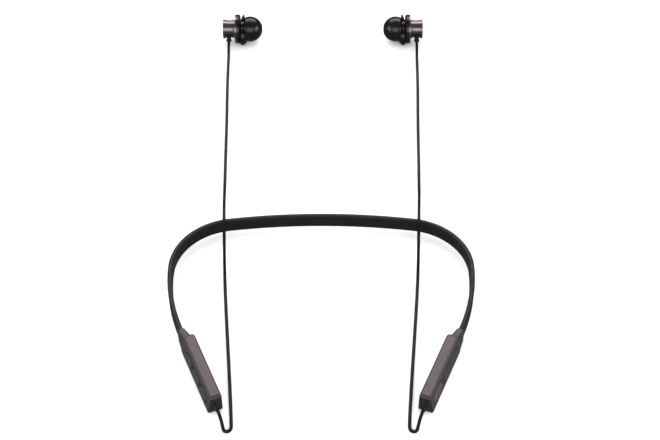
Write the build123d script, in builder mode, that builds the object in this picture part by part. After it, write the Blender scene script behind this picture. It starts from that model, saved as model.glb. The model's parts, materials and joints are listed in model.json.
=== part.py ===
from build123d import *

import os
from math import asin, atan, cos, degrees, pi, radians, sin, tan

os.makedirs("parts", exist_ok=True)

# Neckband earphones lying on a table. X runs from the wearer's right pod to the left one,
# +Y points from the pods towards the earbuds, Z is up and the table is Z = 0. Every piece
# is drawn on the +X side, and the pieces of the -X side are its mirror image.

# --- strap, seen from above: a flat rear arc, two round corners, two sides that toe in ---
REAR_Y = -21.32
REAR_RADIUS = 300.0
REAR_HALF = 45.0
CORNER_RADIUS = 31.7
SIDE_RADIUS = 100.0
TOE_IN = 22.6
STRAP_THICKNESS = 2.2
STRAP_HEIGHT = 7.2
STRAP_LIFT = 1.5
STRAP_EDGE = 0.7
CHANNEL_WIDTH = 1.1
CHANNEL_HEIGHT = 5.2
WIRE_RADIUS = 0.45
WIRE_LEVEL = 3.1
RIBBON_THICKNESS = 0.4
RIBBON_BOTTOM = 3.9
RIBBON_HEIGHT = 2.9

# --- pods: a flat top, an upright inner side and an outer side that leans out below ---
POD_LENGTH = 37.5
POD_HEIGHT = 10.2
POD_INNER = -2.75
POD_OUTER_TOP = 2.45
POD_FLARE = 1.8
POD_WALL = 0.9
POD_MIDDLE = POD_HEIGHT / 2
COVER_THICKNESS = 1.3
COVER_LIP = 0.8
COVER_REAR = 0.35       # bare rim of the tray round the inlaid cover: behind it,
COVER_BORDER = 0.45     # beside it
COVER_FRONT = 1.5       # and in front of it
FIT = 0.05
COVER_GAP = 0.2         # the open joint between the inlaid cover and its rim
REAR_CORNER = 1.4       # the pod's inner corners seen from above, rear and front
FRONT_CORNER = 1.1
OUTER_CORNER = 2.2      # the pod's outer front corner at the table, seen from above
BELLY = 2.2             # the rounding under the pod's front end, seen from the side
BROW = 1.5              # and over it
COLLAR_LENGTH = 5.5
COLLAR_WALL = 0.6
COLLAR_INNER = -1.2     # the collar's inner side where it meets the pod
COLLAR_INSET = 0.3
SPIGOT = 1.2
SPIGOT_STEP = 0.55      # how much thicker the tray's inner wall is at the collar
CAP_LENGTH = 0.8
CAP_PLATE = 1.6
CAP_SPIGOT = 2.0
SEAM_WIDTH, SEAM_DEPTH = 0.3, 0.35
SEAM_FOOT, SEAM_RISE = 29.7, 7.3    # the slanted seam: where it starts, how high it ends
STRAP_LEAD = 7.2        # from the end of the strap's arcs to the pod
STRAP_OUTER_N = 2.9     # the strap's outer face, from the pod's centre line
STRAP_IN_COLLAR = 4.0

# --- controls, along the pod and into its outer wall ---
BUTTON_CENTRES = {"volume_up_button": 10.0, "play_button": 19.7, "volume_down_button": 29.3}
BUTTON_LENGTHS = {"volume_up_button": 7.6, "play_button": 8.8, "volume_down_button": 7.6}
BUTTON_HEIGHT = 4.4
BUTTON_PROUD = 0.55
BUTTON_GAP = 0.18
MOAT_WIDTH, MOAT_DEPTH = 0.5, 0.45      # the sunk ring round each key and the flap
BUTTON_TRAVEL = 0.4
FLANGE_THICKNESS = 0.45
FLANGE_RIM = 0.5
PLUNGER_GAP = 0.05
SWITCH_LENGTH, SWITCH_WIDTH, SWITCH_BODY = 3.5, 2.8, 1.2
PLUNGER_RADIUS, PLUNGER_HEIGHT = 0.8, 0.25
BOARD_THICKNESS = 0.7
POWER_START, POWER_END = 3.0, 21.6
POWER_HEIGHT = 5.0
POWER_PROUD = 0.2
PORT_START, PORT_END = 23.6, 33.4
PORT_HEIGHT = 5.4
PORT_HINGE_RADIUS = 0.45
SOCKET_U = 28.6
LIGHT_U, LIGHT_RADIUS = 4.2, 0.55
MIC_N, MIC_LEVEL = 0.4, 6.35
MIC_RADIUS, MIC_DEPTH, MIC_HOLE = 0.85, 1.2, 0.35
BOARD_LENGTH, BOARD_WIDTH = 29.0, 6.0
MODULE_U, MODULE_LENGTH, MODULE_WIDTH, MODULE_HEIGHT = 20.0, 9.0, 4.2, 0.5
CELL_START, CELL_LENGTH, CELL_WIDTH, CELL_HEIGHT = 2.2, 15.0, 2.5, 6.6
CHARGING_BOARD_LEVEL = 2.9
CHARGING_BOARD_U, CHARGING_BOARD_LENGTH, CHARGING_BOARD_WIDTH = 26.0, 14.8, 3.0
SOCKET_WIDTH, SOCKET_HEIGHT, SOCKET_DEPTH, SOCKET_SHELL = 7.2, 2.6, 3.9, 0.35
TONGUE_WIDTH, TONGUE_THICKNESS, TONGUE_LENGTH = 5.0, 0.5, 2.6
PLUG_WIDTH, PLUG_THICKNESS, PLUG_LENGTH = 5.2, 1.1, 0.6
POWER_SWITCH_U, POWER_SWITCH_RISE = 20.3, 0.7
RELIEF_RADIUS, RELIEF_NECK, RELIEF_TIP, RELIEF_COLLAR = 1.35, 1.1, 0.95, 0.6

# --- cable ---
CABLE_RADIUS = 0.75
CABLE_N = 0.4           # where it leaves the pod's end, from the pod's centre line
CABLE_LEVEL = 4.0
RELIEF_LENGTH = 2.0

# --- earbuds: the axis lies along X, and the cable side is turned down to the table ---
BUD_REAR_X = 56.8
BUD_Y = 128.8
BUD_ROLL = 25.0
FLANGE_RADIUS = 8.2
RIM_RADIUS = 5.4
WAIST_RADIUS = 4.9
BUD_BORE = 4.1
FLANGE_BACK, FLANGE_SPLIT, FLANGE_FRONT = 6.9, 7.8, 9.7
NECK_RADIUS, NECK_END = 3.9, 12.3
NOZZLE_RADIUS, NOZZLE_BORE, NOZZLE_END = 2.6, 1.9, 16.6
BUD_CABLE_S = 3.35
BUD_RELIEF_END = 8.2

# --- derived frame of the +X pod ---
REAR_ANGLE = degrees(asin(REAR_HALF / REAR_RADIUS))
TOE = radians(TOE_IN)
ALONG = Vector(-sin(TOE), -cos(TOE), 0)
OUT = Vector(cos(TOE), -sin(TOE), 0)
UP = Vector(0, 0, 1)
corner_x = REAR_HALF + CORNER_RADIUS * (1 - sin(radians(REAR_ANGLE)))
corner_y = REAR_Y - REAR_RADIUS + (REAR_RADIUS - CORNER_RADIUS) * cos(radians(REAR_ANGLE))
STRAP_END = Vector(
    corner_x - SIDE_RADIUS * (1 - cos(TOE)), corner_y - SIDE_RADIUS * sin(TOE), 0
)
POD_ORIGIN = STRAP_END + ALONG * STRAP_LEAD - OUT * STRAP_OUTER_N
LEAN = atan(POD_FLARE / POD_HEIGHT)
FACE_NORMAL = OUT * cos(LEAN) + UP * sin(LEAN)

BUD_ORIGIN = Vector(BUD_REAR_X, BUD_Y, FLANGE_RADIUS)
ROLL = radians(BUD_ROLL)
BUD = Plane(origin=BUD_ORIGIN, x_dir=(-1, 0, 0), z_dir=(0, sin(ROLL), -cos(ROLL)))
BUD_AXIS = Axis(BUD_ORIGIN, BUD.x_dir)

# The cable from the pod's relief to the earbud's: out and down, a tight fold in front of
# the pod, back over the table, over the strap in a hump and up into the earbud's boot.
CABLE_ROUTE = [
    (44.011, -136.638, 4.0), (42.820, -139.500, 4.0), (41.8, -142.6, 2.1), (41.0, -145.6, 0.8),
    (37.9, -144.9, 0.8), (38.2, -139.7, 0.8), (38.95, -130.3, 0.8), (40.4, -114.3, 0.8),
    (43.2, -85.3, 0.8), (45.3, -62.3, 0.8), (46.15, -49.3, 3.2), (46.7, -34.3, 12.6),
    (47.6, -18.3, 12.6), (48.85, -3.3, 3.2), (49.5, 9.7, 0.8), (50.2, 27.7, 0.8),
    (51.25, 57.7, 0.8), (52.5, 84.7, 0.8), (53.05, 101.7, 0.8), (53.3, 111.5, 0.8),
    (53.43, 116.84, 2.62), (53.45, 121.368, 4.734),
]


def save(builder, name, mirrored=False):
    """Write one piece, mirrored to the -X side if it belongs there."""
    part = builder.part.mirror(Plane.YZ) if mirrored else builder.part
    part.label = name
    export_step(part, f"parts/{name}.step")


def pod_point(u, n, z):
    """A point u along the +X pod, n outward from its centre line and z above the table."""
    return POD_ORIGIN + ALONG * u + OUT * n + UP * z


def section_plane(u):
    """The plane across the pod at u: x is outward, y is up, and it faces the pod's end."""
    return Plane(origin=POD_ORIGIN + ALONG * u, x_dir=OUT, z_dir=ALONG)


def outer_n(z, inset=0.0):
    """The pod's outer side at height z, or its inside when inset by a wall."""
    return POD_OUTER_TOP + POD_FLARE * (POD_HEIGHT - z) / POD_HEIGHT - inset / cos(LEAN)


def side_plane(u, depth=0.0):
    """A plane parallel to the pod's outer side, depth inside it: x along, z outward."""
    origin = pod_point(u, outer_n(POD_MIDDLE), POD_MIDDLE) - FACE_NORMAL * depth
    return Plane(origin=origin, x_dir=ALONG, z_dir=FACE_NORMAL)


def quad(points, radii):
    """A face with four rounded corners, drawn in the open sketch."""
    with BuildLine() as outline:
        FilletPolyline(*points, radius=radii, close=True)
    make_face(outline.edges())


def pod_section(inset=0.0, low=0.0, high=POD_HEIGHT, radii=(1.2, 0.9, 0.35, 1.2), step=0.0):
    """The pod's cross-section between two heights, moved inward by inset, the inner side
    by step more."""
    inner = POD_INNER + inset + step
    quad(
        [(inner, low), (outer_n(low, inset), low), (outer_n(high, inset), high), (inner, high)],
        list(radii),
    )


def slab(plane, points, radii, bottom, top, mode):
    """A prism over a rounded quad, from bottom to top along the plane's normal."""
    with BuildSketch(plane.offset(bottom)) as outline:
        quad(points, radii)
    extrude(outline.sketch, amount=top - bottom, mode=mode)


def plan_slab(rear, front, inner, outer, corners, bottom, top, mode):
    """A prism with a level outline: u from rear to front, n from inner to outer."""
    plane = Plane(origin=POD_ORIGIN, x_dir=ALONG, z_dir=UP)
    points = [(rear, inner), (front, inner), (front, outer), (rear, outer)]
    slab(plane, points, corners, bottom, top, mode)


def round_ends():
    """Round the open pod piece's corners from above and its front from the side."""
    reach = 2 * POD_HEIGHT
    plan_slab(0, POD_LENGTH, POD_INNER, outer_n(0),
              [REAR_CORNER, FRONT_CORNER, OUTER_CORNER, 0.1], -1, reach, Mode.INTERSECT)
    side = Plane(origin=POD_ORIGIN, x_dir=ALONG, z_dir=OUT * -1)
    points = [(-reach, 0), (POD_LENGTH, 0), (POD_LENGTH, POD_HEIGHT), (-reach, POD_HEIGHT)]
    slab(side, points, [1, BELLY, BROW, 1], -reach, reach, Mode.INTERSECT)


def cover_seat(gap, mode):
    """The place of the inlaid cover, smaller by gap all round."""
    plan_slab(
        COVER_REAR + gap, POD_LENGTH - COVER_FRONT - gap, POD_INNER + COVER_BORDER + gap,
        POD_OUTER_TOP - COVER_BORDER - gap,
        [REAR_CORNER - COVER_REAR, FRONT_CORNER - COVER_BORDER, 0.2, 0.2],
        POD_HEIGHT - COVER_THICKNESS, 2 * POD_HEIGHT, mode,
    )


def strap_line(inward, lead, level=0.0):
    """The strap's outer line moved inward, running lead past its arcs at both ends."""
    start = STRAP_END - OUT * inward + UP * level
    straight = Line(start + ALONG * lead, start)
    side = JernArc(straight @ 1, ALONG * -1, SIDE_RADIUS - inward, TOE_IN)
    corner = JernArc(side @ 1, side % 1, CORNER_RADIUS - inward, 90 - REAR_ANGLE)
    rear = JernArc(corner @ 1, corner % 1, REAR_RADIUS - inward, 2 * REAR_ANGLE)
    corner = JernArc(rear @ 1, rear % 1, CORNER_RADIUS - inward, 90 - REAR_ANGLE)
    side = JernArc(corner @ 1, corner % 1, SIDE_RADIUS - inward, TOE_IN)
    end = Line(side @ 1, (side @ 1) + (side % 1) * lead)
    return straight @ 0, end @ 1


def strap_band(inward_outer, inward_inner, lead, bottom, height, mode=Mode.ADD):
    """A band that follows the strap, between two distances in from its outer line."""
    with BuildSketch(Plane.XY.offset(bottom)) as band:
        with BuildLine():
            outer_start, outer_end = strap_line(inward_outer, lead)
            inner_start, inner_end = strap_line(inward_inner, lead)
            Line(outer_start, inner_start)
            Line(outer_end, inner_end)
        make_face()
    extrude(band.sketch, amount=height, mode=mode)


def turned(points, plane=BUD, axis=BUD_AXIS, mode=Mode.ADD):
    """A turned solid from a closed profile of (distance along the axis, radius)."""
    with BuildSketch(plane) as profile:
        with BuildLine():
            Polyline(*points, close=True)
        make_face()
    revolve(profile.sketch, axis=axis, mode=mode)


def bud_cross(s, turn):
    """The plane across the earbud at s from its rear rim: y points away from the cable,
    turned upward by turn degrees."""
    away = BUD.y_dir * cos(radians(turn)) - BUD.z_dir * sin(radians(turn))
    return Plane(
        origin=BUD_ORIGIN + BUD.x_dir * s, x_dir=away.cross(BUD.x_dir), z_dir=BUD.x_dir
    )


# ------------------------------------------------------------------ neckband
def make_strap():
    lead = STRAP_LEAD - COLLAR_LENGTH + STRAP_IN_COLLAR
    margin = (STRAP_THICKNESS - CHANNEL_WIDTH) / 2
    with BuildPart() as strap:
        strap_band(0, STRAP_THICKNESS, lead, STRAP_LIFT, STRAP_HEIGHT)
        levels = strap.faces().filter_by(Axis.Z).sort_by(Axis.Z)
        long_edges = [e for f in (levels[0], levels[-1]) for e in f.edges() if e.length > lead - 1]
        fillet(long_edges, STRAP_EDGE)
        strap_band(
            margin, margin + CHANNEL_WIDTH, lead,
            STRAP_LIFT + (STRAP_HEIGHT - CHANNEL_HEIGHT) / 2, CHANNEL_HEIGHT, Mode.SUBTRACT,
        )
    save(strap, "neckband_strap")

    middle = STRAP_THICKNESS / 2
    with BuildPart() as ribbon:
        strap_band(
            middle - RIBBON_THICKNESS / 2, middle + RIBBON_THICKNESS / 2,
            STRAP_LEAD + SPIGOT, RIBBON_BOTTOM, RIBBON_HEIGHT,
        )
    save(ribbon, "link_ribbon")

    with BuildPart() as wire:
        with BuildLine() as route:
            strap_line(middle, STRAP_LEAD - 0.6, WIRE_LEVEL)
        path = route.wires()[0]
        with BuildSketch(Plane(origin=path @ 0, z_dir=path % 0)):
            Circle(WIRE_RADIUS)
        sweep(path=path)
    save(wire, "memory_wire")


# ------------------------------------------------------------------ pod shells and ends
def make_collar(name, mirrored):
    strap_n = STRAP_OUTER_N - STRAP_THICKNESS / 2
    half_n = STRAP_THICKNESS / 2 + COLLAR_WALL
    low, high = STRAP_LIFT - COLLAR_WALL, STRAP_LIFT + STRAP_HEIGHT + COLLAR_WALL
    strap_middle = STRAP_LIFT + STRAP_HEIGHT / 2
    with BuildPart() as collar:
        with BuildSketch(section_plane(-COLLAR_LENGTH)):
            quad(
                [(strap_n - half_n, low), (strap_n + half_n, low),
                 (strap_n + half_n, high), (strap_n - half_n, high)],
                [1.0, 1.0, 1.0, 1.0],
            )
        with BuildSketch(section_plane(0)):
            bottom, top = COLLAR_INSET, POD_HEIGHT - COLLAR_INSET
            quad(
                [(COLLAR_INNER, bottom), (outer_n(bottom, COLLAR_INSET / 2), bottom),
                 (outer_n(top, COLLAR_INSET / 2), top), (COLLAR_INNER, top)],
                [1.0, 1.0, 0.5, 1.0],
            )
        loft(ruled=True)
        with BuildSketch(section_plane(0)):
            pod_section(POD_WALL + FIT, POD_WALL + FIT, POD_HEIGHT - COVER_THICKNESS - COVER_LIP,
                        radii=(0.4, 0.4, 0.4, 0.4), step=SPIGOT_STEP)
        extrude(amount=SPIGOT)
        with BuildSketch(section_plane(-COLLAR_LENGTH)):
            with Locations((strap_n, strap_middle)):
                RectangleRounded(STRAP_THICKNESS, STRAP_HEIGHT, STRAP_EDGE)
        extrude(amount=STRAP_IN_COLLAR, mode=Mode.SUBTRACT)
        with BuildSketch(section_plane(-COLLAR_LENGTH)):
            with Locations((strap_n, strap_middle)):
                Rectangle(CHANNEL_WIDTH, CHANNEL_HEIGHT)
        extrude(amount=COLLAR_LENGTH + SPIGOT, mode=Mode.SUBTRACT)
    save(collar, name, mirrored)


def make_shell(name, mirrored, cut_openings):
    """The U-shaped tray: floor, both sides, and whatever is cut in the outer side."""
    run = POD_LENGTH - CAP_LENGTH
    with BuildPart() as shell:
        with BuildSketch(section_plane(0)):
            pod_section()
        extrude(amount=run)
        round_ends()
        cover_seat(0, Mode.SUBTRACT)
        with BuildSketch(section_plane(0)):
            pod_section(POD_WALL, POD_WALL, POD_HEIGHT - COVER_THICKNESS,
                        radii=(0.4, 0.4, 0.1, 0.1), step=SPIGOT_STEP)
        extrude(amount=SPIGOT, mode=Mode.SUBTRACT)
        with BuildSketch(section_plane(SPIGOT)):
            pod_section(POD_WALL, POD_WALL, POD_HEIGHT - COVER_THICKNESS,
                        radii=(0.4, 0.4, 0.1, 0.1))
        extrude(amount=run - SPIGOT, mode=Mode.SUBTRACT)
        cut_openings()
    save(shell, name, mirrored)


def make_cover(name, mirrored):
    """The metallic plate inlaid in the top, with a lip that drops between the walls."""
    split = POD_HEIGHT - COVER_THICKNESS
    lip_start = SPIGOT + 0.2
    lip_run = POD_LENGTH - CAP_LENGTH - CAP_SPIGOT - 0.2 - lip_start
    lip_wall = 0.6
    with BuildPart() as cover:
        with BuildSketch(section_plane(0)):
            pod_section()
        extrude(amount=POD_LENGTH)
        round_ends()
        cover_seat(COVER_GAP, Mode.INTERSECT)
        with BuildSketch(section_plane(lip_start)):
            pod_section(POD_WALL + FIT, split - COVER_LIP, split, radii=(0.1, 0.1, 0.1, 0.1))
        extrude(amount=lip_run)
        with BuildSketch(section_plane(lip_start + lip_wall)):
            pod_section(POD_WALL + lip_wall, split - COVER_LIP - 1, split + 0.3,
                        radii=(0.1, 0.1, 0.1, 0.1))
        extrude(amount=lip_run - 2 * lip_wall, mode=Mode.SUBTRACT)
    save(cover, name, mirrored)


def make_end_cap(name, mirrored, cut_hole=None):
    """The glossy cap on the pod's end, with a spigot in the tray and the cable's hole."""
    start = POD_LENGTH - CAP_LENGTH
    with BuildPart() as cap:
        with BuildSketch(section_plane(0)):
            pod_section()
        extrude(amount=POD_LENGTH)
        round_ends()
        plan_slab(start, POD_LENGTH + 1, -POD_HEIGHT, POD_HEIGHT, [0.1] * 4,
                  -1, 2 * POD_HEIGHT, Mode.INTERSECT)
        cover_seat(0, Mode.SUBTRACT)
        with BuildSketch(section_plane(start)):
            pod_section(POD_WALL + FIT, POD_WALL + FIT, POD_HEIGHT - COVER_THICKNESS - COVER_LIP,
                        radii=(0.4, 0.4, 0.4, 0.4))
        extrude(amount=-CAP_SPIGOT)
        with BuildSketch(section_plane(start - CAP_SPIGOT)):
            pod_section(POD_WALL + 0.8, POD_WALL + 0.8, POD_HEIGHT - 2.9, radii=(0.3,) * 4)
        extrude(amount=CAP_SPIGOT + CAP_LENGTH - CAP_PLATE, mode=Mode.SUBTRACT)
        with BuildSketch(section_plane(POD_LENGTH - CAP_PLATE)):
            with Locations((CABLE_N, CABLE_LEVEL)):
                Circle(RELIEF_NECK)
        extrude(amount=CAP_PLATE, mode=Mode.SUBTRACT)
        if cut_hole:
            cut_hole()
    save(cap, name, mirrored)


def make_pod_relief(name, mirrored):
    """The rubber boot that the cable leaves the pod through."""
    start = POD_LENGTH - CAP_PLATE
    base = pod_point(0, CABLE_N, CABLE_LEVEL)
    plane = Plane(origin=base, x_dir=ALONG, z_dir=OUT * -1)
    end = POD_LENGTH + RELIEF_LENGTH
    with BuildPart() as relief:
        turned(
            [(start - RELIEF_COLLAR, 0), (start - RELIEF_COLLAR, RELIEF_RADIUS),
             (start, RELIEF_RADIUS), (start, RELIEF_NECK), (POD_LENGTH, RELIEF_NECK),
             (POD_LENGTH, RELIEF_RADIUS), (POD_LENGTH + 0.5, RELIEF_RADIUS),
             (POD_LENGTH + 0.8, RELIEF_NECK), (end, RELIEF_TIP), (end, 0)],
            plane, Axis(base, ALONG),
        )
    save(relief, name, mirrored)


# ------------------------------------------------------------------ controls
def side_slot(u, length, height, depth_from, depth_to, mode):
    """An obround block or hole in the outer side, between two depths below its surface."""
    with BuildSketch(side_plane(u, depth_from)) as slot:
        SlotOverall(length, height)
    extrude(slot.sketch, amount=depth_from - depth_to, mode=mode)


def make_key(name, u, length, height, proud, mirrored):
    """A push key: a domed obround cap in the wall's hole, on a wider flange inside."""
    with BuildPart() as key:
        side_slot(u, length, height, POD_WALL + FIT, -proud, Mode.ADD)
        top = key.faces().sort_by(Axis(POD_ORIGIN, FACE_NORMAL))[-1]
        fillet(top.edges(), min(0.35, proud))
        side_slot(
            u, length + 2 * FLANGE_RIM, height + 2 * FLANGE_RIM,
            POD_WALL + FIT + FLANGE_THICKNESS, POD_WALL + FIT, Mode.ADD,
        )
    save(key, name, mirrored)


def cut_key_opening(u, length, height):
    """A hole for a key, with a wider moat sunk in the surface round it."""
    for gap, depth in ((BUTTON_GAP, 2), (MOAT_WIDTH, MOAT_DEPTH)):
        side_slot(u, length + 2 * gap, height + 2 * gap, depth, -1, Mode.SUBTRACT)


def cut_button_openings():
    for name, centre in BUTTON_CENTRES.items():
        cut_key_opening(centre, BUTTON_LENGTHS[name], BUTTON_HEIGHT)
    with BuildSketch(side_plane(LIGHT_U, 2)) as hole:
        Circle(LIGHT_RADIUS)
    extrude(hole.sketch, amount=3, mode=Mode.SUBTRACT)
    cut_slanted_seam()


def cut_slanted_seam():
    """A groove up the outer side, from the underside to the pod's front edge."""
    run = POD_LENGTH - SEAM_FOOT
    rise = SEAM_RISE / cos(LEAN)
    middle = (SEAM_FOOT + POD_LENGTH) / 2
    drop = (POD_MIDDLE - SEAM_RISE / 2) / cos(LEAN)
    with BuildSketch(side_plane(middle, SEAM_DEPTH)) as seam:
        with Locations(Location((0, drop, 0), (0, 0, -degrees(atan(rise / run))))):
            Rectangle(2 * run, SEAM_WIDTH)
    extrude(seam.sketch, amount=1, mode=Mode.SUBTRACT)


SWITCH_TOP = POD_WALL + FIT + FLANGE_THICKNESS + BUTTON_TRAVEL + PLUNGER_GAP
BOARD_TOP = SWITCH_TOP + PLUNGER_HEIGHT + SWITCH_BODY


def switch_solid(u, rise=0.0):
    """A tactile switch, rise above the pod's middle: a square body and a round plunger."""
    with BuildSketch(side_plane(u, BOARD_TOP)) as body:
        with Locations((0, -rise)):
            Rectangle(SWITCH_LENGTH, SWITCH_WIDTH)
    extrude(body.sketch, amount=SWITCH_BODY)
    with BuildSketch(side_plane(u, BOARD_TOP - SWITCH_BODY)) as plunger:
        with Locations((0, -rise)):
            Circle(PLUNGER_RADIUS)
    extrude(plunger.sketch, amount=PLUNGER_HEIGHT)


def make_control_pod():
    name, mirrored = "control_pod", True
    make_shell(f"{name}_shell", mirrored, cut_button_openings)
    make_cover(f"{name}_cover", mirrored)
    make_collar(f"{name}_collar", mirrored)
    make_end_cap(f"{name}_end_cap", mirrored, cut_microphone_hole)
    make_pod_relief(f"{name}_cable_relief", mirrored)
    for key, centre in BUTTON_CENTRES.items():
        make_key(key, centre, BUTTON_LENGTHS[key], BUTTON_HEIGHT, BUTTON_PROUD, mirrored)

    with BuildPart() as switches:
        for centre in BUTTON_CENTRES.values():
            switch_solid(centre)
    save(switches, "tactile_switches", mirrored)

    with BuildPart() as board:
        with BuildSketch(side_plane(POD_LENGTH / 2 - 1, BOARD_TOP)):
            with Locations((0, 0.4)):
                RectangleRounded(BOARD_LENGTH, BOARD_WIDTH, 0.6)
        extrude(amount=-BOARD_THICKNESS)
    save(board, "control_board", mirrored)

    with BuildPart() as module:
        with BuildSketch(side_plane(MODULE_U, BOARD_TOP + BOARD_THICKNESS)):
            with Locations((0, 1.0)):
                RectangleRounded(MODULE_LENGTH, MODULE_WIDTH, 0.3)
        extrude(amount=-MODULE_HEIGHT)
    save(module, "bluetooth_module", mirrored)

    with BuildPart() as light:
        with BuildSketch(side_plane(LIGHT_U, BOARD_TOP)):
            Circle(LIGHT_RADIUS)
        extrude(amount=BOARD_TOP + 0.1)
    save(light, "status_light_pipe", mirrored)

    with BuildPart() as microphone:
        with BuildSketch(section_plane(POD_LENGTH - CAP_PLATE)):
            with Locations((MIC_N, MIC_LEVEL)):
                Circle(MIC_RADIUS)
        extrude(amount=-MIC_DEPTH)
    save(microphone, "microphone", mirrored)


def cut_microphone_hole():
    with BuildSketch(section_plane(POD_LENGTH - CAP_PLATE)) as hole:
        with Locations((MIC_N, MIC_LEVEL)):
            Circle(MIC_HOLE)
    extrude(hole.sketch, amount=CAP_PLATE, mode=Mode.SUBTRACT)


def port_outline(end, grow=0.0):
    """The flap's outline on the pod's side: round at the rear, square at u = end."""
    half = PORT_HEIGHT / 2 + grow
    straight = end - PORT_START - PORT_HEIGHT / 2
    with BuildLine() as outline:
        Polyline((0, half), (straight, half), (straight, -half), (0, -half))
        ThreePointArc((0, -half), (-half, 0), (0, half))
    make_face(outline.edges())


def cut_port_openings():
    cut_key_opening((POWER_START + POWER_END) / 2, POWER_END - POWER_START, POWER_HEIGHT)
    for gap, depth in ((BUTTON_GAP, 2), (MOAT_WIDTH, MOAT_DEPTH)):
        with BuildSketch(side_plane(PORT_START + PORT_HEIGHT / 2, depth)) as opening:
            port_outline(PORT_END + gap, gap)
        extrude(opening.sketch, amount=depth + 1, mode=Mode.SUBTRACT)


def make_battery_pod():
    name = "battery_pod"
    make_shell(f"{name}_shell", False, cut_port_openings)
    make_cover(f"{name}_cover", False)
    make_collar(f"{name}_collar", False)
    make_end_cap(f"{name}_end_cap", False)
    make_pod_relief(f"{name}_cable_relief", False)
    power_middle = (POWER_START + POWER_END) / 2
    make_key(
        "power_button", power_middle, POWER_END - POWER_START, POWER_HEIGHT, POWER_PROUD, False
    )

    # The flap: a plate flush with the pod's side, a round hinge bead and a plug behind it.
    with BuildPart() as flap:
        with BuildSketch(side_plane(PORT_START + PORT_HEIGHT / 2, 2 * PORT_HINGE_RADIUS)):
            port_outline(PORT_END - PORT_HINGE_RADIUS)
        extrude(amount=2 * PORT_HINGE_RADIUS)
        bead = side_plane(PORT_END - PORT_HINGE_RADIUS, PORT_HINGE_RADIUS)
        with BuildSketch(Plane(origin=bead.origin + bead.y_dir * PORT_HEIGHT / 2,
                               x_dir=ALONG, z_dir=bead.y_dir * -1)):
            Circle(PORT_HINGE_RADIUS)
        extrude(amount=PORT_HEIGHT)
        with BuildSketch(side_plane(SOCKET_U, 2 * PORT_HINGE_RADIUS)):
            RectangleRounded(PLUG_WIDTH, PLUG_THICKNESS, 0.3)
        extrude(amount=-PLUG_LENGTH)
    save(flap, "port_cover")

    with BuildPart() as cell:
        with BuildSketch(section_plane(CELL_START)):
            with Locations((-0.5, 4.6)):
                RectangleRounded(CELL_WIDTH, CELL_HEIGHT, 0.5)
        extrude(amount=CELL_LENGTH)
    save(cell, "battery_cell")

    with BuildPart() as board:
        level = pod_point(CHARGING_BOARD_U, 0, CHARGING_BOARD_LEVEL)
        with BuildSketch(Plane(origin=level, x_dir=ALONG, z_dir=UP)):
            RectangleRounded(CHARGING_BOARD_LENGTH, CHARGING_BOARD_WIDTH, 0.4)
        extrude(amount=BOARD_THICKNESS)
    save(board, "charging_board")

    socket_top = CHARGING_BOARD_LEVEL + BOARD_THICKNESS + SOCKET_HEIGHT
    socket_middle = socket_top - SOCKET_HEIGHT / 2
    mouth = outer_n(socket_top, POD_WALL) - 0.1
    cavity = SOCKET_DEPTH - 0.5
    mouth_plane = Plane(origin=pod_point(SOCKET_U, mouth, socket_middle), x_dir=ALONG, z_dir=OUT)
    with BuildPart() as socket:
        with BuildSketch(mouth_plane):
            RectangleRounded(SOCKET_WIDTH, SOCKET_HEIGHT, 0.4)
        extrude(amount=-SOCKET_DEPTH)
        with BuildSketch(mouth_plane):
            RectangleRounded(SOCKET_WIDTH - 2 * SOCKET_SHELL, SOCKET_HEIGHT - 2 * SOCKET_SHELL,
                             0.3)
        extrude(amount=-cavity, mode=Mode.SUBTRACT)
        with BuildSketch(mouth_plane.offset(-cavity)):
            Rectangle(TONGUE_WIDTH, TONGUE_THICKNESS)
        extrude(amount=TONGUE_LENGTH)
    save(socket, "charging_socket")

    with BuildPart() as power_switch:
        switch_solid(POWER_SWITCH_U, rise=POWER_SWITCH_RISE)
    save(power_switch, "power_switch")


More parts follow.
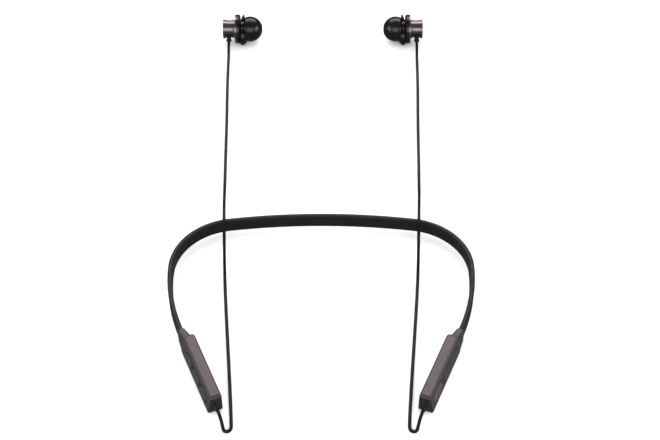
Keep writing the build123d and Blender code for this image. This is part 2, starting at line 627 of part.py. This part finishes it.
# ------------------------------------------------------------------ earbuds
def make_bud(side, mirrored):
    with BuildPart() as rear:
        with BuildSketch(BUD):
            with BuildLine():
                Polyline((6.7, 5.3), (FLANGE_BACK, 5.5), (FLANGE_BACK, FLANGE_RADIUS - 0.15),
                         (FLANGE_SPLIT, FLANGE_RADIUS - 0.15), (FLANGE_SPLIT, BUD_BORE),
                         (1.6, BUD_BORE), (1.6, 4.6), (0, 4.6), (0, RIM_RADIUS),
                         (0.5, RIM_RADIUS - 0.05))
                ThreePointArc((0.5, RIM_RADIUS - 0.05), (3.2, WAIST_RADIUS), (6.7, 5.3))
            make_face()
        revolve(axis=BUD_AXIS)
        with BuildSketch(Plane(origin=BUD_ORIGIN + BUD.x_dir * BUD_CABLE_S,
                               x_dir=BUD.x_dir, z_dir=BUD.y_dir * -1)):
            Circle(1.15)
        extrude(amount=FLANGE_RADIUS, mode=Mode.SUBTRACT)
    save(rear, f"{side}_bud_rear_housing", mirrored)

    with BuildPart() as cap:
        turned([(0.25, 4.6), (0.25, 3.9), (0.55, 3.6), (0.55, 0), (1.6, 0), (1.6, 4.6)])
    save(cap, f"{side}_bud_rear_cap", mirrored)

    with BuildPart() as magnet:
        turned([(1.6, 0), (1.6, 3.0), (2.9, 3.0), (2.9, 0)])
    save(magnet, f"{side}_bud_magnet", mirrored)

    with BuildPart() as driver:
        turned([(5.2, 0), (5.2, 3.5), (5.5, 3.8), (7.85, 3.8), (7.85, 6.9), (8.6, 6.9),
                (8.6, 6.2), (8.9, 3.2), (8.7, 0)])
    save(driver, f"{side}_bud_driver", mirrored)

    with BuildPart() as front:
        turned([(FLANGE_SPLIT, FLANGE_RADIUS), (FLANGE_FRONT - 0.5, FLANGE_RADIUS),
                (FLANGE_FRONT, FLANGE_RADIUS - 0.6), (FLANGE_FRONT, NECK_RADIUS),
                (NECK_END, NECK_RADIUS), (NECK_END, NOZZLE_RADIUS), (NOZZLE_END, NOZZLE_RADIUS),
                (NOZZLE_END, 2.2), (NOZZLE_END - 0.4, 2.2), (NOZZLE_END - 0.4, NOZZLE_BORE),
                (9.1, NOZZLE_BORE), (9.1, 7.0), (FLANGE_SPLIT, 7.0)])
    save(front, f"{side}_bud_front_housing", mirrored)

    with BuildPart() as mesh:
        turned([(NOZZLE_END - 0.4, 0), (NOZZLE_END - 0.4, 2.2), (NOZZLE_END - 0.1, 2.2),
                (NOZZLE_END - 0.1, 0)])
    save(mesh, f"{side}_nozzle_mesh", mirrored)

    # Silicone tip: a core that grips the nozzle inside a thin domed skirt open at the rear.
    with BuildPart() as tip:
        with BuildSketch(BUD):
            with BuildLine():
                Spline((12.8, 5.8), (15.4, 7.0), (18.4, 6.45), (20.9, 4.5), (22.4, 2.3))
                Polyline((22.4, 2.3), (22.2, 1.9), (17.2, 1.9), (17.2, NOZZLE_RADIUS + FIT),
                         (12.6, NOZZLE_RADIUS + FIT), (12.6, 3.5), (18.4, 3.5), (19.3, 4.4))
                Spline((19.3, 4.4), (18.0, 5.75), (15.4, 6.35), (12.8, 5.2))
                Line((12.8, 5.2), (12.8, 5.8))
            make_face()
        revolve(axis=BUD_AXIS)
    save(tip, f"{side}_ear_tip", mirrored)

    # Silicone sleeve on the neck: a ring, a fin away from the cable and a lobe beside it.
    ring_start, ring_end = FLANGE_FRONT, 12.2
    with BuildPart() as wing:
        turned([(ring_start, NECK_RADIUS), (ring_start, 4.7), (ring_end, 4.7),
                (ring_end, NECK_RADIUS)])
        with BuildSketch(bud_cross(ring_start, 15)):
            with Locations((0, -5.8)):
                Ellipse(4.2, 3.3)
            Circle(4.3, mode=Mode.SUBTRACT)
        extrude(amount=ring_end - ring_start)
        with BuildSketch(bud_cross(ring_end - 1.4, 20)):
            with BuildLine():
                Polyline((2.6, 3.8), (-2.9, 3.6))
                Spline((-2.9, 3.6), (-2.6, 6.6), (-0.6, 8.1))
                Spline((-0.6, 8.1), (1.2, 7.6), (2.6, 3.8))
            make_face()
            Circle(4.3, mode=Mode.SUBTRACT)
        extrude(amount=1.4)
    save(wing, f"{side}_ear_wing", mirrored)

    # The cable's boot: a collar inside the housing, a stem and a bell outside.
    base = BUD_ORIGIN + BUD.x_dir * BUD_CABLE_S
    down = BUD.y_dir * -1
    with BuildPart() as boot:
        turned(
            [(3.3, 0), (3.3, 1.4), (3.7, 1.4), (3.7, 1.15), (5.6, 1.15), (7.3, 1.5), (7.6, 1.5),
             (BUD_RELIEF_END, 1.0), (BUD_RELIEF_END, 0)],
            Plane(origin=base, x_dir=down, z_dir=BUD.z_dir), Axis(base, down),
        )
    save(boot, f"{side}_bud_cable_relief", mirrored)


# ------------------------------------------------------------------ cables
def corner_radii(route):
    """The radius of the arc at each inner point, from the shorter run beside it."""
    radii = []
    for before, here, after in zip(route, route[1:], route[2:]):
        into, out_of = Vector(here) - Vector(before), Vector(after) - Vector(here)
        half_turn = radians(into.get_angle(out_of)) / 2
        radii.append(0.45 * min(into.length, out_of.length) / tan(half_turn))
    return radii


def make_cables():
    radii = corner_radii(CABLE_ROUTE)
    with BuildPart() as cable:
        with BuildLine():
            path = FilletPolyline(*CABLE_ROUTE, radius=radii)
        with BuildSketch(Plane(origin=path @ 0, z_dir=path % 0)):
            Circle(CABLE_RADIUS)
        sweep(path=path)
    expected = pi * CABLE_RADIUS**2 * path.length
    print("cable length", round(path.length, 1), "mm")
    print("cable radii", [round(r, 1) for r in radii])
    print("cable volume / (section x length)", round(cable.part.volume / expected, 4))
    save(cable, "right_cable", mirrored=True)
    save(cable, "left_cable")


make_strap()
make_control_pod()
make_battery_pod()
make_bud("right", True)
make_bud("left", False)
make_cables()
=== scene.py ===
"""Looks of the neckband earphones: camera, light, cables, silicone parts and materials.

Everything is in metres in the frame of the CAD model: X across, +Y from the pods towards
the earbuds, Z up from the table. Shapes in small local frames are given in millimetres.
"""
import json
import math

import bmesh
import bpy
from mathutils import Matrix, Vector


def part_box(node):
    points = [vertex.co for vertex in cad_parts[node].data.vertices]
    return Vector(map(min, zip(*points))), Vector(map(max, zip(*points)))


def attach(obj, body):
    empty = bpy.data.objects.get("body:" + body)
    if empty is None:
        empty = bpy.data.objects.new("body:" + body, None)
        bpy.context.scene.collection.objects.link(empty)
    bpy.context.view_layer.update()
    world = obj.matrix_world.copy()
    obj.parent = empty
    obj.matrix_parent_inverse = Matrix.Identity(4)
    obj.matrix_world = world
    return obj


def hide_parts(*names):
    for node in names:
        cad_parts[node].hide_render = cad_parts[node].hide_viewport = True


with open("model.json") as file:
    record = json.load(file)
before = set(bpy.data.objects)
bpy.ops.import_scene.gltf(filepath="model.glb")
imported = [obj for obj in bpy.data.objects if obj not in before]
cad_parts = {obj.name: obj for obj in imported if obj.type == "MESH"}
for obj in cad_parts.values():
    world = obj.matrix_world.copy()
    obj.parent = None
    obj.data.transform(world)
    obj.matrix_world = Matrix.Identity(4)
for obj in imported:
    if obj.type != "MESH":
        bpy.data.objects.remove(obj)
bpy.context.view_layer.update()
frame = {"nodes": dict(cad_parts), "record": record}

MM = 0.001
BODY = "headset"
SIDES = {"left": 1, "right": -1}      # the wearer's left is +X

# --- camera, floor and light ---
CAMERA_PLACE = (0.0041, -0.4684, 0.4510)
CAMERA_TILT = math.radians(45)
CAMERA_LENS = 70.2
FLOOR_HALF = 3.0
FLOOR_COLOR = (0.93, 0.93, 0.93)
WORLD_FILL = 1.2
WORLD_IN_GLOSS = 0.14

# --- cables: the same route as the CAD tubes, on the +X side ---
CABLE_DIAMETER = 0.0015
CABLE_ROUTE = [
    (0.044011, -0.136638, 0.0040), (0.042820, -0.139500, 0.0040), (0.0418, -0.1426, 0.0021),
    (0.0410, -0.1456, 0.0008), (0.0379, -0.1449, 0.0008), (0.0382, -0.1397, 0.0008),
    (0.03895, -0.1303, 0.0008), (0.0404, -0.1143, 0.0008), (0.0432, -0.0853, 0.0008),
    (0.0453, -0.0623, 0.0008), (0.04615, -0.0493, 0.0032), (0.0467, -0.0343, 0.0126),
    (0.0476, -0.0183, 0.0126), (0.04885, -0.0033, 0.0032), (0.0495, 0.0097, 0.0008),
    (0.0502, 0.0277, 0.0008), (0.05125, 0.0577, 0.0008), (0.0525, 0.0847, 0.0008),
    (0.05305, 0.1017, 0.0008), (0.0533, 0.1115, 0.0008), (0.05343, 0.11684, 0.00262),
    (0.05345, 0.121368, 0.004734),
]

# --- earbuds: s runs along the axis from the rear rim, millimetres ---
BUD_ROLL = math.radians(25)
housing_low, housing_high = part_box("left_bud_rear_housing")
BUD_REAR = Vector((housing_high.x, *((housing_low + housing_high) / 2).yz))   # the rim's middle
AWAY = Vector((0, math.cos(BUD_ROLL), math.sin(BUD_ROLL)))      # across, away from the cable
ACROSS = Vector((0, math.sin(BUD_ROLL), -math.cos(BUD_ROLL)))
TURN_STEPS = 96
TIP_RADIUS, TIP_MIDDLE = 7.1, 15.3
TIP_ARC_START, TIP_ARC_STEP, TIP_ARC_POINTS = 112, 8, 13      # degrees from the axis
FIN_TURN, FIN_HALF_WIDTH = -20, 42                            # degrees round the axis
LOBE_TURN, LOBE_HALF_WIDTH = 160, 80

# --- materials ---
NOISE_RANGE = (0.35, 0.65)      # where most values of the noise lie


# ------------------------------------------------------------------ camera, floor, light
def make_camera():
    camera = bpy.data.objects.new("camera", bpy.data.cameras.new("camera"))
    camera.data.lens = CAMERA_LENS
    camera.location = CAMERA_PLACE
    camera.rotation_euler = (CAMERA_TILT, 0, 0)
    bpy.context.scene.collection.objects.link(camera)
    bpy.context.scene.camera = camera


def make_floor():
    mesh = bpy.data.meshes.new("floor")
    signs = ((-1, -1), (1, -1), (1, 1), (-1, 1))
    corners = [(x * FLOOR_HALF, y * FLOOR_HALF, 0) for x, y in signs]
    mesh.from_pydata(corners, [], [(0, 1, 2, 3)])
    floor = bpy.data.objects.new("floor", mesh)
    bpy.context.scene.collection.objects.link(floor)
    mesh.materials.append(painted("pale floor", FLOOR_COLOR, roughness=0.9, specular=0.1))
    floor.visible_glossy = False      # gloss on the object doesn't see the floor


def make_light(name, place, target, size, power):
    data = bpy.data.lights.new(name, "AREA")
    data.shape = "RECTANGLE"
    data.size, data.size_y = size
    data.energy = power
    light = bpy.data.objects.new(name, data)
    light.location = place
    light.rotation_euler = (Vector(target) - Vector(place)).to_track_quat("-Z", "Y").to_euler()
    bpy.context.scene.collection.objects.link(light)


def make_world():
    """A white fill that lights surfaces fully but shows only faintly in gloss."""
    world = bpy.data.worlds.new("studio")
    world.use_nodes = True
    tree = world.node_tree
    background = tree.nodes["Background"]
    background.inputs["Color"].default_value = (1, 1, 1, 1)
    path = tree.nodes.new("ShaderNodeLightPath")
    level = tree.nodes.new("ShaderNodeMapRange")
    level.inputs["To Min"].default_value = WORLD_FILL
    level.inputs["To Max"].default_value = WORLD_IN_GLOSS
    tree.links.new(path.outputs["Is Glossy Ray"], level.inputs["Value"])
    tree.links.new(level.outputs["Result"], background.inputs["Strength"])
    bpy.context.scene.world = world


def make_studio():
    make_world()
    bpy.context.scene.view_settings.view_transform = "Standard"
    middle = (0, 0, 0)
    make_light("front softbox", (0, -0.95, 0.58), middle, (1.3, 0.75), 4.6)
    make_light("back softbox", (0, 1.0, 0.95), (0, 0.1, 0), (1.6, 0.8), 9.5)
    for name, sign in SIDES.items():
        make_light(f"{name} strip", (sign * 0.85, -0.25, 0.3), middle, (0.7, 0.4), 2.6)


# ------------------------------------------------------------------ materials
def painted(name, color, roughness, metallic=0.0, specular=0.5, coat=0.0, coat_roughness=0.1):
    """A material with the values that are the same all over set on the shader itself."""
    material = bpy.data.materials.new(name)
    material.use_nodes = True
    shader = material.node_tree.nodes["Principled BSDF"].inputs
    shader["Base Color"].default_value = (*color, 1)
    shader["Roughness"].default_value = roughness
    shader["Metallic"].default_value = metallic
    shader["Specular IOR Level"].default_value = specular
    shader["Coat Weight"].default_value = coat
    shader["Coat Roughness"].default_value = coat_roughness
    return material


def add_node(material, kind, **inputs):
    node = material.node_tree.nodes.new(kind)
    for key, value in inputs.items():
        node.inputs[key].default_value = value
    return node


def link(material, source, target):
    material.node_tree.links.new(source, target)


def place_in(material, stretch=(1, 1, 1)):
    """Coordinates fixed to the object, in millimetres, stretched along the axes."""
    source = add_node(material, "ShaderNodeTexCoord")
    mapping = add_node(material, "ShaderNodeMapping", Scale=[1000 * s for s in stretch])
    link(material, source.outputs["Object"], mapping.inputs["Vector"])
    return mapping.outputs["Vector"]


def noise(material, scale, detail=3.0, stretch=(1, 1, 1)):
    """Noise whose cells are about 1/scale millimetres across."""
    node = add_node(material, "ShaderNodeTexNoise", Scale=scale, Detail=detail)
    link(material, place_in(material, stretch), node.inputs["Vector"])
    return node.outputs["Fac"]


def spread(material, source, low, high, to_low, to_high):
    """source's values between low and high, mapped on to_low..to_high."""
    node = add_node(material, "ShaderNodeMapRange")
    limits = {"From Min": low, "From Max": high, "To Min": to_low, "To Max": to_high}
    for key, value in limits.items():
        node.inputs[key].default_value = value
    link(material, source, node.inputs["Value"])
    return node.outputs["Result"]


def shader_of(material):
    return material.node_tree.nodes["Principled BSDF"].inputs


def bump(material, height, depth_mm):
    """Relief of depth_mm from a height between 0 and 1, on top of any relief already there."""
    normal = shader_of(material)["Normal"]
    node = add_node(material, "ShaderNodeBump", Strength=1.0, Distance=depth_mm * MM)
    link(material, height, node.inputs["Height"])
    if normal.is_linked:
        link(material, normal.links[0].from_socket, node.inputs["Normal"])
    link(material, node.outputs["Normal"], normal)


def mottle(material, low_color, high_color, source, low=NOISE_RANGE[0], high=NOISE_RANGE[1]):
    """The base colour wanders between two colours with the noise."""
    mix = add_node(material, "ShaderNodeMix")
    mix.data_type = "RGBA"
    for socket, color in ((mix.inputs[6], low_color), (mix.inputs[7], high_color)):
        socket.default_value = (*color, 1)
    link(material, spread(material, source, low, high, 0, 1), mix.inputs["Factor"])
    link(material, mix.outputs[2], shader_of(material)["Base Color"])


def uneven_gloss(material, source, smooth, rough):
    roughness = spread(material, source, *NOISE_RANGE, smooth, rough)
    link(material, roughness, shader_of(material)["Roughness"])


def shades(color, amount):
    """A slightly darker and a slightly lighter version of a colour."""
    return [c * (1 - amount) for c in color], [c * (1 + amount) for c in color]


def moulded(name, color, roughness, grain_mm, grain_depth, amount=0.12, **shader):
    """Moulded plastic or rubber: a fine grain, slow colour drift and uneven gloss."""
    material = painted(name, color, roughness, **shader)
    slow = noise(material, 0.12, detail=2.0)
    mottle(material, *shades(color, amount), slow)
    uneven_gloss(material, noise(material, 0.5), roughness * 0.85, roughness * 1.2)
    bump(material, noise(material, 1 / grain_mm, detail=2.0), grain_depth)
    return material


def brushed(name, color, roughness, stretch, depth, **shader):
    """Metal with fine parallel scratches: the noise is squeezed across them by stretch."""
    material = painted(name, color, roughness, **shader)
    scratches = noise(material, 1.0, detail=4.0, stretch=stretch)
    mottle(material, *shades(color, 0.22), scratches)
    uneven_gloss(material, scratches, roughness * 0.8, roughness * 1.3)
    bump(material, scratches, depth)
    return material


def metallic_paint(name, color, roughness, metallic=0.55):
    """Satin paint with a fine metallic flake under a thin clear coat."""
    material = painted(name, color, roughness, metallic=metallic, coat=0.15, coat_roughness=0.25)
    flake = noise(material, 9.0, detail=1.0)
    mottle(material, *shades(color, 0.3), flake)
    uneven_gloss(material, noise(material, 0.3), roughness * 0.9, roughness * 1.15)
    bump(material, flake, 0.004)
    return material


def woven_mesh(name, color):
    """Steel cloth: two sets of fine waves crossing."""
    material = painted(name, color, 0.35, metallic=1.0)
    weave = None
    for direction in ("Y", "Z"):
        wave = add_node(material, "ShaderNodeTexWave", Scale=1.2)
        wave.bands_direction = direction
        link(material, place_in(material), wave.inputs["Vector"])
        if weave is None:
            weave = wave.outputs["Fac"]
            continue
        product = add_node(material, "ShaderNodeMath")
        product.operation = "MULTIPLY"
        link(material, weave, product.inputs[0])
        link(material, wave.outputs["Fac"], product.inputs[1])
        weave = product.outputs["Value"]
    mottle(material, (0.02, 0.02, 0.02), color, weave, low=0.1, high=0.5)
    bump(material, weave, 0.08)
    return material


def frosted(name):
    material = painted(name, (0.10, 0.095, 0.095), 0.25)
    shader_of(material)["Transmission Weight"].default_value = 0.6
    bump(material, noise(material, 6.0), 0.01)
    return material


def make_materials():
    """One material for each slot of the record."""
    around_x = (30, 0.4, 0.4)
    return {
        "strap_rubber": moulded(
            "strap silicone", (0.008, 0.0075, 0.0075), 0.38, 0.12, 0.008, specular=0.3),
        "spring_steel": brushed(
            "spring steel", (0.5, 0.5, 0.51), 0.3, (0.5, 0.5, 8), 0.01, metallic=1.0),
        "flex": moulded("polyimide flex", (0.35, 0.2, 0.06), 0.3, 0.3, 0.01),
        "pod_shell": metallic_paint("pod shell", (0.082, 0.070, 0.071), 0.40),
        "pod_cover": metallic_paint("pod cover", (0.104, 0.080, 0.081), 0.40),
        "pod_collar": metallic_paint("pod collar", (0.070, 0.057, 0.058), 0.42),
        "gloss_black": moulded(
            "polished end cap", (0.012, 0.011, 0.011), 0.2, 0.8, 0.004, coat=0.3),
        "key": metallic_paint("keys", (0.080, 0.069, 0.070), 0.36),
        "flap_silicone": moulded("port flap", (0.064, 0.056, 0.057), 0.42, 0.15, 0.012),
        "silicone": moulded(
            "ear silicone", (0.002, 0.002, 0.002), 0.26, 0.25, 0.008, specular=0.65),
        "board": moulded("solder mask", (0.01, 0.09, 0.035), 0.3, 0.6, 0.02, amount=0.3),
        "component": moulded("component", (0.02, 0.02, 0.02), 0.5, 0.1, 0.01),
        "switch_metal": brushed(
            "switch can", (0.6, 0.6, 0.6), 0.3, (4, 0.5, 0.5), 0.01, metallic=1.0),
        "battery_foil": brushed(
            "pouch foil", (0.6, 0.61, 0.63), 0.32, (1, 1, 4), 0.03, metallic=1.0),
        "socket_metal": brushed(
            "socket shell", (0.66, 0.66, 0.68), 0.18, (1, 5, 1), 0.004, metallic=1.0),
        "light_pipe": frosted("light pipe"),
        "bud_metal": brushed(
            "anodised housing", (0.29, 0.243, 0.248), 0.23, around_x, 0.006, metallic=1.0),
        "bud_flange": metallic_paint("bud flange", (0.060, 0.048, 0.048), 0.22, metallic=0.95),
        "magnet": brushed(
            "magnet plating", (0.5, 0.5, 0.52), 0.25, (2, 2, 2), 0.004, metallic=1.0),
        "driver": brushed(
            "driver basket", (0.25, 0.25, 0.27), 0.35, (2, 2, 2), 0.01, metallic=0.8),
        "mesh": woven_mesh("nozzle mesh", (0.4, 0.4, 0.41)),
        "cable_jacket": moulded(
            "cable jacket", (0.003, 0.003, 0.003), 0.34, 0.2, 0.004, specular=0.3),
    }


# ------------------------------------------------------------------ cables
def make_cable(side, sign, material):
    route = [(sign * x, y, z) for x, y, z in CABLE_ROUTE]
    curve = bpy.data.curves.new(f"{side}_cable_jacket", "CURVE")
    curve.dimensions = "3D"
    spline = curve.splines.new("NURBS")
    spline.points.add(len(route) - 1)
    for point, place in zip(spline.points, route):
        point.co = (*place, 1)
    spline.order_u = 3
    spline.use_endpoint_u = True
    curve.resolution_u = 16
    curve.bevel_depth = CABLE_DIAMETER / 2
    curve.bevel_resolution = 8
    curve.use_fill_caps = True
    curve.materials.append(material)
    cable = bpy.data.objects.new(curve.name, curve)
    bpy.context.scene.collection.objects.link(cable)
    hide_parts(f"{side}_cable")
    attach(cable, BODY)


# ------------------------------------------------------------------ mesh helpers
def eased(points, steps):
    """A smooth closed outline through the points: Catmull-Rom, steps per span."""
    ring = points[:-1]
    result = []
    for i in range(len(ring)):
        a, b, c, d = (Vector(ring[(i + k) % len(ring)]) for k in (-1, 0, 1, 2))
        for step in range(steps):
            t = step / steps
            result.append(
                0.5 * (2 * b + (c - a) * t + (2 * a - 5 * b + 4 * c - d) * t**2
                       + (3 * b - a - 3 * c + d) * t**3)
            )
    return result


def grid_mesh(name, rows, material):
    """A smooth ring-shaped mesh: rows of points joined from row to row and round each row."""
    mesh = bpy.data.meshes.new(name)
    bm = bmesh.new()
    grid = [[bm.verts.new(p) for p in row] for row in rows]
    row_count, column_count = len(grid), len(grid[0])
    for i in range(row_count):
        for j in range(column_count):
            here, after = grid[i], grid[(i + 1) % row_count]
            k = (j + 1) % column_count
            bm.faces.new((here[j], here[k], after[k], after[j]))
    bmesh.ops.remove_doubles(bm, verts=bm.verts, dist=1e-6)
    bmesh.ops.recalc_face_normals(bm, faces=bm.faces)
    for face in bm.faces:
        face.smooth = True
    bm.to_mesh(mesh)
    bm.free()
    mesh.materials.append(material)
    piece = bpy.data.objects.new(name, mesh)
    bpy.context.scene.collection.objects.link(piece)
    return piece


def settle(piece, node, body):
    """piece stands for a CAD node, which it hides, and rides on a body."""
    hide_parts(node)
    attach(piece, body)


def bud_place(sign, s, away, across):
    """A point in the earbud's frame: s along the axis from the rear rim, in millimetres."""
    rim = Vector((sign * (BUD_REAR.x - s * MM), BUD_REAR.y, BUD_REAR.z))
    return rim + (AWAY * away + ACROSS * across) * MM


def lathe(name, profile, place, material):
    """A turned piece from a closed profile of (along, radius)."""
    rows = []
    for i in range(TURN_STEPS):
        angle = 2 * math.pi * i / TURN_STEPS
        rows.append([place(a, r * math.cos(angle), r * math.sin(angle)) for a, r in profile])
    return grid_mesh(name, rows, material)


# ------------------------------------------------------------------ silicone pieces
def make_ear_tip(side, sign, material):
    """A nearly round skirt, rolled at its rear rim and at its mouth, on a core."""
    arc = []
    for step in range(TIP_ARC_POINTS):
        angle = math.radians(TIP_ARC_START - step * TIP_ARC_STEP)
        arc.append((TIP_MIDDLE + TIP_RADIUS * math.cos(angle), TIP_RADIUS * math.sin(angle)))
    mouth = [(22.1, 2.0), (21.7, 1.75), (20.0, 1.85), (17.4, 1.9), (17.2, 2.68), (12.6, 2.68)]
    core = [(12.45, 3.05), (12.7, 3.5), (18.0, 3.5), (19.2, 4.2)]
    inner = [(18.6, 5.4), (16.8, 6.2), (15.2, 6.45), (13.6, 6.25), (12.75, 5.95), (12.4, 6.2)]
    profile = eased([*arc, *mouth, *core, *inner, arc[0]], 4)
    piece = lathe(
        f"{side}_silicone_tip", profile, lambda s, y, z: bud_place(sign, s, y, z), material,
    )
    settle(piece, f"{side}_ear_tip", f"{side}_tip")


def bell(angle, centre, half_width):
    """1 at the centre angle, falling smoothly to 0 at half_width from it, in degrees."""
    off = abs((angle - centre + 180) % 360 - 180) / half_width
    return 0.5 + 0.5 * math.cos(math.pi * off) if off < 1 else 0.0


def make_ear_wing(side, sign, material):
    """A silicone sleeve with a thin fin above and a full lobe below, blended round the ring.

    The three outlines are (along, radius) and run the same way, so that they blend."""
    sleeve = [(9.75, 3.92), (9.75, 4.4), (9.95, 4.7), (10.9, 4.78), (11.9, 4.7), (12.15, 4.4),
              (12.15, 3.92)]
    fin = [(10.3, 3.92), (10.5, 5.6), (11.0, 7.6), (11.55, 8.35), (12.1, 7.7), (12.25, 5.6),
           (12.15, 3.92)]
    lobe = [(9.75, 3.92), (9.72, 6.9), (9.95, 8.8), (10.9, 9.3), (12.4, 8.5), (13.5, 6.9),
            (12.5, 3.95)]
    count = 2 * TURN_STEPS
    rows = []
    for step in range(count):
        degrees = 360 * step / count
        up = bell(degrees, FIN_TURN, FIN_HALF_WIDTH) ** 0.6
        down = bell(degrees, LOBE_TURN, LOBE_HALF_WIDTH) ** 0.7
        section = [
            Vector(a) * (1 - up - down) + Vector(b) * up + Vector(c) * down
            for a, b, c in zip(sleeve, fin, lobe)
        ]
        turn = math.radians(degrees)
        rows.append([
            bud_place(sign, s, r * math.cos(turn), r * math.sin(turn))
            for s, r in eased([tuple(p) for p in (*section, section[0])], 6)
        ])
    piece = grid_mesh(f"{side}_silicone_wing", rows, material)
    settle(piece, f"{side}_ear_wing", BODY)


def make_bud_boot(side, sign, material):
    """The bell-shaped boot between the housing and the cable."""
    along = 3.35
    profile = eased(
        [(4.3, 0.05), (4.3, 1.12), (5.5, 1.13), (6.4, 1.3), (7.2, 1.5), (7.65, 1.48),
         (8.0, 1.25), (8.2, 0.95), (8.2, 0.05), (4.3, 0.05)], 4)
    piece = lathe(
        f"{side}_bud_boot", profile,
        lambda down, y, z: bud_place(sign, along + y, -down, z), material,
    )
    settle(piece, f"{side}_bud_cable_relief", BODY)


materials = make_materials()
make_camera()
for side, sign in SIDES.items():
    make_cable(side, sign, materials["cable_jacket"])
make_floor()
make_studio()

for part in frame["record"]["subparts"]:
    mesh = frame["nodes"][part["node"]].data
    mesh.materials.clear()
    mesh.materials.append(materials[part["material_slot"]])

for side, sign in SIDES.items():
    make_ear_tip(side, sign, materials["silicone"])
    make_ear_wing(side, sign, materials["silicone"])
    make_bud_boot(side, sign, materials["strap_rubber"])
